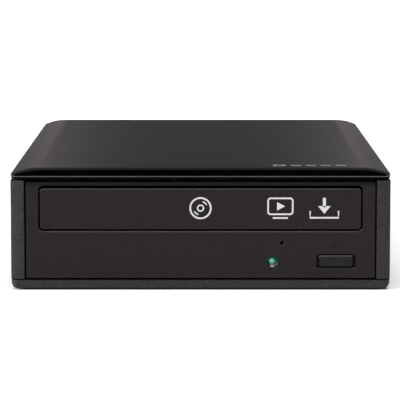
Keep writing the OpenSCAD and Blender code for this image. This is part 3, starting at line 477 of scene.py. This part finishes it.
def build_lid():
    half_d = (REAR_Y - FRONT_Y) / 2
    mid_y = (REAR_Y + FRONT_Y) / 2
    rings = []

    def ring(inset, level=None):
        corner_r = max(LID_CORNER_R - inset, LID_INNER_R)
        outline = round_outline(HALF_W - inset, half_d - inset, corner_r, 12, 40)
        rings.append([(x, y + mid_y, lid_height(x, y + mid_y) if level is None else level)
                      for x, y in outline])

    # The lid's inside and the set-back lip under it
    ring(LID_INSIDE, LID_HIGH - LID_WALL)
    ring(LID_WALL + INSIDE_RUN, LID_HIGH - LID_WALL)
    ring(LID_WALL + WALL_FOOT, LID_EDGE + WALL_FOOT)
    ring(LIP_INSET + LIP_WIDTH, LID_EDGE)
    ring(LIP_INSET + LIP_WIDTH, LIP_LOW)
    ring(LIP_INSET + LIP_EASE, LIP_LOW)
    ring(LIP_INSET, LIP_LOW + LIP_EASE)
    ring(LIP_INSET, LID_EDGE)
    # The rounded rim, the upright strip that catches the floor's light, and the top
    for turn in range(0, 91, 15):
        a = math.radians(turn)
        ring(LID_RIM * (1 - math.sin(a)), LID_EDGE + LID_RIM * (1 - math.cos(a)))
    ring(0.0, UPRIGHT_TOP - FRONT_UPRIGHT / 2)
    ring(UPRIGHT_EASE, UPRIGHT_TOP)
    for turn in range(80, -1, -5):
        ring(EDGE_RUN * (1 - math.sin(math.radians(turn))))
    for inset in TOP_INSETS:
        ring(inset)
    made = piece("gloss_lid_shell", *lofted(rings), smooth_angle=40)
    made.data.materials.append(MATERIALS["gloss_lid"])
    made.data.materials.append(gloss("lid_edge", LID_EDGE_BLACK, 0.05, ior=1.65, specular=1.0))
    made.data.materials.append(MATERIALS["inner_plastic"])
    for face in made.data.polygons:
        levels = [made.data.vertices[i].co.z / MM for i in face.vertices]
        if min(levels) > LID_EDGE + 0.08 and max(levels) < UPRIGHT_TOP + 0.01:
            face.material_index = EDGE_SLOT
        elif max(levels) < LID_EDGE + 0.01:
            face.material_index = LIP_SLOT
    return made


lid = build_lid()
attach(lid, "root")
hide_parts("top_cover")

# ---- Printed pictograms ---------------------------------------------------------------------------


def ring_points(cx, cy, radius, start=0, end=360, steps=48):
    return [(cx + radius * math.cos(math.radians(start + (end - start) * i / steps)),
             cy + radius * math.sin(math.radians(start + (end - start) * i / steps)))
            for i in range(steps + 1)]


def stroke(points, width, closed=False):
    """A flat ribbon along a line of points: its two edges, for filling with four-sided faces."""
    left, right = [], []
    count = len(points)
    for i, (x, y) in enumerate(points):
        before = points[(i - 1) % count] if closed or i > 0 else points[i]
        after = points[(i + 1) % count] if closed or i < count - 1 else points[i]
        run = Vector((after[0] - before[0], after[1] - before[1])).normalized()
        left.append((x - run.y * width / 2, y + run.x * width / 2))
        right.append((x + run.y * width / 2, y - run.x * width / 2))
    return left, right, closed


def printed(name, strokes, filled, place, thick, material, body):
    """A thin print made of strokes and filled outlines; place turns (u, v, lift) into millimetres."""
    verts, faces = [], []

    def solid(front_faces, points):
        base, count = len(verts), len(points)
        verts.extend(place(u, v, thick) for u, v in points)
        verts.extend(place(u, v, 0.0) for u, v in points)
        sides = set()
        for face in front_faces:
            faces.append(tuple(base + i for i in face))
            faces.append(tuple(base + count + i for i in reversed(face)))
            sides.update(zip(face, face[1:] + face[:1]))
        for i, j in sorted(sides):
            if (j, i) not in sides:
                faces.append((base + j, base + i, base + count + i, base + count + j))

    for left, right, closed in strokes:
        count = len(left)
        last = count if closed else count - 1
        quads = [(i, (i + 1) % count, count + (i + 1) % count, count + i) for i in range(last)]
        solid(quads, left + right)
    for outline in filled:
        solid([tuple(range(len(outline)))], outline)
    made = piece(name, verts, faces, smooth_angle=20)
    made.data.materials.append(material)
    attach(made, body)


def closed_ring(cx, cy, radius, width):
    return stroke(ring_points(cx, cy, radius)[:-1], width, closed=True)


DOOR_FACE = span("tray_door", 1)[0]
MARK_Z = middle("tray_door", 2) + 0.4
# A print starts this far inside the face that it lies on, and is PRINT_PROUD thick on the door
INTO_DOOR, INTO_LID, PRINT_PROUD = 0.02, 0.01, 0.05
INK = moulded("print_ink", (0.6, 0.6, 0.59), 0.5, bump=0.1, grain_mm=0.12)
SILVER = moulded("print_silver", (0.26, 0.26, 0.265), 0.4, bump=0.1, grain_mm=0.12)


def on_door(u, v, lift):
    return (u, DOOR_FACE + INTO_DOOR - lift, v)


def on_lid(u, v, lift):
    return (u, v, LID_TOP - INTO_LID + lift)


def disc_mark(cx, cz):
    """A plain disc: its rim, its hub and two glints."""
    rim_r, glint_r, hub_r = 4.35, 2.9, 1.25
    glints = [stroke(ring_points(cx, cz, glint_r, start, start + 44, 12), 0.55) for start in (28, 208)]
    return [closed_ring(cx, cz, rim_r, 0.75), closed_ring(cx, cz, hub_r, 0.6)] + glints, []


def play_mark(cx, cz):
    """A screen outline with a play triangle and a foot."""
    half_w, half_h, corner_r, line = 5.2, 3.4, 1.1, 0.7
    rise, foot_half = 0.8, 3.2
    screen = [(cx + x, cz + rise + z) for x, z in round_outline(half_w, half_h, corner_r, 6)]
    triangle = [(cx - 1.4, cz + 2.6), (cx - 1.4, cz - 1.0), (cx + 2.0, cz + rise)]
    foot = stroke([(cx - foot_half, cz - 4.2), (cx + foot_half, cz - 4.2)], line)
    return [stroke(screen, line, closed=True), foot], [triangle]


def save_mark(cx, cz):
    """An arrow pointing down into an open tray."""
    half_w, rim, floor_level = 6.0, -1.2, -4.1
    head_half, head_top, head_tip = 2.7, 0.9, -2.4
    tray = stroke([(cx - half_w, cz + rim), (cx - half_w, cz + floor_level),
                   (cx + half_w, cz + floor_level), (cx + half_w, cz + rim)], 0.75)
    shaft = stroke([(cx, cz + 4.4), (cx, cz + 0.4)], 1.3)
    head = [(cx - head_half, cz + head_top), (cx, cz + head_tip), (cx + head_half, cz + head_top)]
    return [tray, shaft], [head]


for name, maker, across in [("disc_mark", disc_mark, 0.0), ("play_mark", play_mark, 33.8),
                            ("save_mark", save_mark, 52.4)]:
    lines, fills = maker(across, MARK_Z)
    printed(name, lines, fills, on_door, PRINT_PROUD, INK, "tray")

LID_MARK_Y = FRONT_Y + 11.0
RING_X, RING_R, RING_WIDTH = 33.6, 2.3, 1.1
DASH_X, DASH_PITCH, DASH_LONG, DASH_WIDE = 38.5, 6.4, 4.4, 2.0
dash_starts = [DASH_X + DASH_PITCH * i for i in range(4)]
lid_lines = [closed_ring(RING_X, LID_MARK_Y, RING_R, RING_WIDTH)]
lid_lines += [stroke([(start, LID_MARK_Y), (start + DASH_LONG, LID_MARK_Y)], DASH_WIDE)
              for start in dash_starts]
printed("lid_mark", lid_lines, [], on_lid, MARK_PROUD, SILVER, "root")

# ---- Collar round the status lamp -----------------------------------------------------------------


def revolved(name, profile, origin, steps=64):
    """A ring turned about a line along Y through origin; profile points are (radius, depth)."""
    rings = []
    for step in range(steps):
        a = math.radians(360 * step / steps)
        rings.append([(origin[0] + r * math.cos(a), origin[1] + depth, origin[2] + r * math.sin(a))
                      for r, depth in profile])
    count = len(profile)
    verts = [p for ring in rings for p in ring]
    faces = [(i * count + j, i * count + (j + 1) % count,
              (i + 1) % steps * count + (j + 1) % count, (i + 1) % steps * count + j)
             for i in range(steps) for j in range(count)]
    return piece(name, verts, faces, smooth_angle=35)


COLLAR_PROFILE = [(1.62, 0.92), (1.62, 0.72), (1.72, 0.62), (2.5, -0.08), (2.6, -0.04), (2.6, 0.06)]
collar = revolved("lamp_collar", COLLAR_PROFILE, (LAMP_X, BEZEL_FACE, LAMP_Z))
# The collar's up-facing lower slope gets a pale painted highlight with some dust, standing for a catch-light
# below the lamp
collar.data.materials.append(moulded("lamp_collar", (0.008, 0.03, 0.022), 0.3, bump=0.05, specular=0.15,
                                     dust_and_highlight=1.0, dust_and_highlight_colour=(0.3, 0.3, 0.28), dust_and_highlight_tilt=(0.56, 0.72)))
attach(collar, "root")

# ---- Plain bars on the label underneath -----------------------------------------------------------

LABEL_FACE = span("rating_label", 2)[0]
LABEL_X, LABEL_Y = middle("rating_label", 0), middle("rating_label", 1)
LABEL_PROUD, INTO_LABEL = 0.04, 0.01
BORDER_X, BORDER_Y, HAIRLINE = 28.5, 18.5, 0.35
ROWS_X, COLUMN_X = 25, 13
HEAD_Y, RULE_Y, FIRST_ROW_Y = 14.2, 10.6, 7.4
HEAD_WIDE, ROW_WIDE, ROW_PITCH = 2.6, 0.9, 3.0
ROW_LENGTHS = (30, 24, 33, 19, 27, 22)


def on_label(u, v, lift):
    return (LABEL_X + u, LABEL_Y + v, LABEL_FACE + INTO_LABEL - lift)


def bar(left, right, level, width):
    return stroke([(left, level), (right, level)], width)


def row_bar(left, right, row):
    return bar(left, right, FIRST_ROW_Y - ROW_PITCH * row, ROW_WIDE)


label_lines = [stroke(round_outline(BORDER_X, BORDER_Y, 1.0, 6), HAIRLINE, closed=True),
               bar(-ROWS_X, -4, HEAD_Y, HEAD_WIDE), bar(-ROWS_X, ROWS_X, RULE_Y, HAIRLINE)]
label_lines += [row_bar(-ROWS_X, length - ROWS_X, row) for row, length in enumerate(ROW_LENGTHS)]
label_lines += [row_bar(COLUMN_X, ROWS_X, row) for row in range(3)]
printed("label_bars", label_lines, [], on_label, LABEL_PROUD, MATERIALS["knob_plastic"],
        "root")

# ---- Contacts in the USB and power sockets --------------------------------------------------------

GOLD = metal("contact_gold", (0.75, 0.55, 0.22), 0.25, stretch=(1, 8, 1))


def boxes(name, corners):
    """Small blocks in one piece; corners are (low, high) in millimetres."""
    verts, faces = [], []
    for low, high in corners:
        base = len(verts)
        verts += [(x, y, z) for z in (low[2], high[2]) for x, y in
                  ((low[0], low[1]), (high[0], low[1]), (high[0], high[1]), (low[0], high[1]))]
        faces += [tuple(base + i for i in face) for face in
                  ((0, 3, 2, 1), (4, 5, 6, 7), (0, 1, 5, 4), (1, 2, 6, 5), (2, 3, 7, 6), (3, 0, 4, 7))]
    return piece(name, verts, faces)


USB_X, USB_BASE, USB_MOUTH = middle("usb_port", 0), span("usb_port", 2)[0], span("usb_port", 1)[1]
CONTACT_X, CONTACT_HALF = 1.3, 0.45
CONTACT_FROM, CONTACT_TO = USB_MOUTH - 9, USB_MOUTH - 1.8
# Each contact lies half sunk in the lower or the upper face of the socket's tongue
CONTACT_LEVELS = ((2.2, 2.35), (4.95, 5.1))
usb_contacts = boxes("usb_contacts", [
    ((USB_X + side * CONTACT_X - CONTACT_HALF, CONTACT_FROM, USB_BASE + low),
     (USB_X + side * CONTACT_X + CONTACT_HALF, CONTACT_TO, USB_BASE + high))
    for side in (-1, 1) for low, high in CONTACT_LEVELS])
usb_contacts.data.materials.append(GOLD)
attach(usb_contacts, "root")

# The jack's bore is JACK_RISE over the bottom of its block
JACK_RISE = 6.18
JACK = (middle("dc_jack", 0), span("dc_jack", 1)[1], span("dc_jack", 2)[0] + JACK_RISE)
SLEEVE_PROFILE = [(3.12, -9.0), (3.0, -9.0), (3.0, -0.6), (3.12, -0.6)]
PIN_PROFILE = [(0.02, -9.0), (1.1, -9.0), (1.1, -1.2), (0.9, -0.95), (0.02, -0.95)]
sleeve = revolved("jack_sleeve", SLEEVE_PROFILE, JACK)
pin = revolved("jack_pin", PIN_PROFILE, JACK, 32)
for made in (sleeve, pin):
    made.data.materials.append(MATERIALS["port_steel"])
    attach(made, "root")

# ---- Floor, light and camera ----------------------------------------------------------------------


def build_floor():
    half = 9000.0
    verts = [(-half, -half, 0), (half, -half, 0), (half, half, 0), (-half, half, 0)]
    floor = piece("floor", verts, [(0, 1, 2, 3)])
    material, _, shader = new_material("studio_floor", 0.9, specular=0.0)
    shader.inputs["Base Color"].default_value = (0.9, 0.9, 0.9, 1)
    floor.data.materials.append(material)


def sun_light(name, towards, strength, spread_deg, in_gloss=False):
    """A distant soft light that shines from the direction towards; in_gloss lets it show as a glint."""
    data = bpy.data.lights.new(name, "SUN")
    data.energy = strength
    data.angle = math.radians(spread_deg)
    lamp = bpy.data.objects.new(name, data)
    lamp.visible_glossy = in_gloss
    lamp.rotation_euler = Vector(towards).to_track_quat("Z", "Y").to_euler()
    bpy.context.scene.collection.objects.link(lamp)


# The studio's levels by direction, whose sideways, backward and upward parts run from -1 to 1
STUDIO_TINT = (1.0, 0.92, 0.94, 1)
BEHIND, OVERHEAD, ASIDE_IN_FRONT = 0.075, 0.12, 0.3
OVERHEAD_FROM, OVERHEAD_TO = 0.15, 0.7
ASIDE_FROM, ASIDE_TO = 0.3, 0.75
TO_BACK = 0.15
# Behind, the level widens with the cube of the sideways part, then falls again towards the sides
WIDEN_AT, WIDEN_GAIN, WIDEN_MOST = 0.0459, 0.34, 2.5
FALL_FROM, FALL_TO, FALL = 0.08, 0.14, 0.7


def build_world():
    """A grey studio: dimmest straight behind the object, brighter to the sides, dark straight in front."""
    world = bpy.data.worlds.new("studio")
    world.use_nodes = True
    tree = world.node_tree

    def combine(operation, first, second):
        node = tree.nodes.new("ShaderNodeMath")
        node.operation = operation
        for socket, value in zip(node.inputs, (first, second)):
            if isinstance(value, bpy.types.NodeSocket):
                link(tree, value, socket)
            else:
                socket.default_value = value
        return node.outputs[0]

    def smooth(value, low, high, end=1.0):
        return combine("MULTIPLY", smooth_range(tree, value, low, high), end)

    place = tree.nodes.new("ShaderNodeTexCoord")
    split = tree.nodes.new("ShaderNodeSeparateXYZ")
    link(tree, place.outputs["Generated"], split.inputs["Vector"])
    across, back, up = split.outputs
    aside = combine("ABSOLUTE", across, 0.0)
    cube = combine("POWER", combine("DIVIDE", aside, WIDEN_AT), 3.0)
    widened = combine("ADD", combine("MULTIPLY", cube, WIDEN_GAIN), 1.0)
    widened = combine("MINIMUM", widened, WIDEN_MOST)
    widened = combine("SUBTRACT", widened, smooth(aside, FALL_FROM, FALL_TO, FALL))
    overhead = smooth(up, OVERHEAD_FROM, OVERHEAD_TO, OVERHEAD)
    behind = combine("ADD", combine("MULTIPLY", widened, BEHIND), overhead)
    in_front = smooth(aside, ASIDE_FROM, ASIDE_TO, ASIDE_IN_FRONT)
    to_back = smooth(back, 0.0, TO_BACK)
    back_share = combine("MULTIPLY", behind, to_back)
    front_share = combine("MULTIPLY", in_front, combine("SUBTRACT", 1.0, to_back))
    shader = tree.nodes["Background"]
    shader.inputs["Color"].default_value = STUDIO_TINT
    link(tree, combine("ADD", back_share, front_share), shader.inputs["Strength"])
    bpy.context.scene.world = world


def build_camera():
    """The viewpoint: straight on, a metre in front and a little above."""
    across_mm, back_mm, above_mm = -0.22, 950.7, 161.8
    pitch_deg = 7.39
    data = bpy.data.cameras.new("camera")
    data.lens, data.sensor_width = 204.1, 36.0
    data.clip_start, data.clip_end = 0.05, 60
    camera = bpy.data.objects.new("camera", data)
    camera.location = (across_mm * MM, (FRONT_Y - back_mm) * MM, above_mm * MM)
    camera.rotation_euler = (math.radians(90 - pitch_deg), 0, 0)
    bpy.context.scene.collection.objects.link(camera)
    bpy.context.scene.camera = camera


build_floor()
build_world()
build_camera()
sun_light("key", (-0.85, -0.3, 0.45), 3.2, 30, in_gloss=True)
sun_light("front", (0.05, -0.4, 0.92), 1.2, 40)
sun_light("top", (0.1, 0.15, 0.98), 2.2, 60)
bpy.context.scene.view_settings.view_transform = "Standard"
